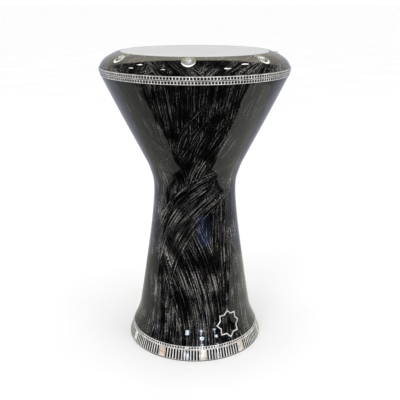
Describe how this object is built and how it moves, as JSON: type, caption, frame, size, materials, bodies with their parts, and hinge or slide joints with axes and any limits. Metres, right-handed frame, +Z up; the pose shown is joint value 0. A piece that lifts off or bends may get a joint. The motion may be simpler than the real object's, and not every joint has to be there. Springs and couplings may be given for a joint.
{
  "type": "darbuka",
  "caption": "Goblet drum with a screwed-down tension ring, replaceable plastic head, waisted cast shell and inlaid foot band.",
  "frame": {"origin": "centre of the foot's rim, on the floor", "axes": "+Z up along the drum's axis towards the head; -Y is the front, where the star inlay is 35 degrees round towards +X"},
  "size_m": [0.284, 0.2834, 0.4583],
  "materials": {
    "black_lacquer": "cast aluminium, scratch-brushed, painted black and clear lacquered to a high gloss",
    "ring_lacquer": "cast aluminium, scratch-brushed, painted black and clear lacquered, bare machined screw pockets",
    "white_film": "smooth white polyester film",
    "bare_aluminium": "rolled channel, satin",
    "cured_resin": "cast epoxy",
    "zinc_steel": "bright zinc plate",
    "bead_strip": "silver-white inlay strip with one row of black dots, lacquered",
    "bar_strip": "black bars on a silver-white ground, lacquered",
    "mother_of_pearl": "pinkish mother-of-pearl, lacquered",
    "silver_inlay": "thin silver metal line, lacquered"
  },
  "bodies": {
    "drum_shell": {"shell": "black_lacquer", "shell_bead_band": "bead_strip", "foot_bead_band": "bead_strip", "star_inlay": "silver_inlay", "pearl_tile_1": "mother_of_pearl", "bar_inlay_1": "bar_strip", "pearl_tile_2": "mother_of_pearl", "bar_inlay_2": "bar_strip", "pearl_tile_3": "mother_of_pearl", "bar_inlay_3": "bar_strip", "pearl_tile_4": "mother_of_pearl", "bar_inlay_4": "bar_strip", "pearl_tile_5": "mother_of_pearl", "bar_inlay_5": "bar_strip", "pearl_tile_6": "mother_of_pearl", "bar_inlay_6": "bar_strip", "pearl_tile_7": "mother_of_pearl", "bar_inlay_7": "bar_strip", "pearl_tile_8": "mother_of_pearl", "bar_inlay_8": "bar_strip", "pearl_tile_9": "mother_of_pearl", "bar_inlay_9": "bar_strip", "pearl_tile_10": "mother_of_pearl", "bar_inlay_10": "bar_strip"},
    "head": {"head_film": "white_film", "head_hoop": "bare_aluminium", "hoop_resin": "cured_resin"},
    "ring": {"tension_ring": "ring_lacquer", "ring_bead_band": "bead_strip"},
    "washer_1": {"bolt_washer_1": "zinc_steel"},
    "bolt_1": {"tuning_bolt_1": "zinc_steel"},
    "washer_2": {"bolt_washer_2": "zinc_steel"},
    "bolt_2": {"tuning_bolt_2": "zinc_steel"},
    "washer_3": {"bolt_washer_3": "zinc_steel"},
    "bolt_3": {"tuning_bolt_3": "zinc_steel"},
    "washer_4": {"bolt_washer_4": "zinc_steel"},
    "bolt_4": {"tuning_bolt_4": "zinc_steel"},
    "washer_5": {"bolt_washer_5": "zinc_steel"},
    "bolt_5": {"tuning_bolt_5": "zinc_steel"},
    "washer_6": {"bolt_washer_6": "zinc_steel"},
    "bolt_6": {"tuning_bolt_6": "zinc_steel"},
    "washer_7": {"bolt_washer_7": "zinc_steel"},
    "bolt_7": {"tuning_bolt_7": "zinc_steel"}
  },
  "joints": [
    {"name": "head_lift", "type": "slide", "parent": "drum_shell", "child": "head", "axis": [0, 0, 1], "range_m": [0, 0.05]},
    {"name": "ring_lift", "type": "slide", "parent": "head", "child": "ring", "axis": [0, 0, 1], "range_m": [0, 0.04]},
    {"name": "bolt_1_rise", "type": "slide", "parent": "ring", "child": "washer_1", "axis": [0, 0, 1], "range_m": [0, 0.015]},
    {"name": "bolt_1_turn", "type": "hinge", "parent": "washer_1", "child": "bolt_1", "pos_m": [-0.00805, -0.12123, 0.4495], "axis": [0, 0, 1], "range_deg": [0, 5400]},
    {"name": "bolt_2_rise", "type": "slide", "parent": "ring", "child": "washer_2", "axis": [0, 0, 1], "range_m": [0, 0.015]},
    {"name": "bolt_2_turn", "type": "hinge", "parent": "washer_2", "child": "bolt_2", "pos_m": [0.08976, -0.08188, 0.4495], "axis": [0, 0, 1], "range_deg": [0, 5400]},
    {"name": "bolt_3_rise", "type": "slide", "parent": "ring", "child": "washer_3", "axis": [0, 0, 1], "range_m": [0, 0.015]},
    {"name": "bolt_3_turn", "type": "hinge", "parent": "washer_3", "child": "bolt_3", "pos_m": [0.11998, 0.01913, 0.4495], "axis": [0, 0, 1], "range_deg": [0, 5400]},
    {"name": "bolt_4_rise", "type": "slide", "parent": "ring", "child": "washer_4", "axis": [0, 0, 1], "range_m": [0, 0.015]},
    {"name": "bolt_4_turn", "type": "hinge", "parent": "washer_4", "child": "bolt_4", "pos_m": [0.05986, 0.10573, 0.4495], "axis": [0, 0, 1], "range_deg": [0, 5400]},
    {"name": "bolt_5_rise", "type": "slide", "parent": "ring", "child": "washer_5", "axis": [0, 0, 1], "range_m": [0, 0.015]},
    {"name": "bolt_5_turn", "type": "hinge", "parent": "washer_5", "child": "bolt_5", "pos_m": [-0.04535, 0.11272, 0.4495], "axis": [0, 0, 1], "range_deg": [0, 5400]},
    {"name": "bolt_6_rise", "type": "slide", "parent": "ring", "child": "washer_6", "axis": [0, 0, 1], "range_m": [0, 0.015]},
    {"name": "bolt_6_turn", "type": "hinge", "parent": "washer_6", "child": "bolt_6", "pos_m": [-0.1164, 0.03483, 0.4495], "axis": [0, 0, 1], "range_deg": [0, 5400]},
    {"name": "bolt_7_rise", "type": "slide", "parent": "ring", "child": "washer_7", "axis": [0, 0, 1], "range_m": [0, 0.015]},
    {"name": "bolt_7_turn", "type": "hinge", "parent": "washer_7", "child": "bolt_7", "pos_m": [-0.0998, -0.06929, 0.4495], "axis": [0, 0, 1], "range_deg": [0, 5400]}
  ],
  "couplings": [
    {"joint": "bolt_1_turn", "follows": "bolt_1_rise", "rad_per_m": 6283.2},
    {"joint": "bolt_2_turn", "follows": "bolt_2_rise", "rad_per_m": 6283.2},
    {"joint": "bolt_3_turn", "follows": "bolt_3_rise", "rad_per_m": 6283.2},
    {"joint": "bolt_4_turn", "follows": "bolt_4_rise", "rad_per_m": 6283.2},
    {"joint": "bolt_5_turn", "follows": "bolt_5_rise", "rad_per_m": 6283.2},
    {"joint": "bolt_6_turn", "follows": "bolt_6_rise", "rad_per_m": 6283.2},
    {"joint": "bolt_7_turn", "follows": "bolt_7_rise", "rad_per_m": 6283.2}
  ]
}
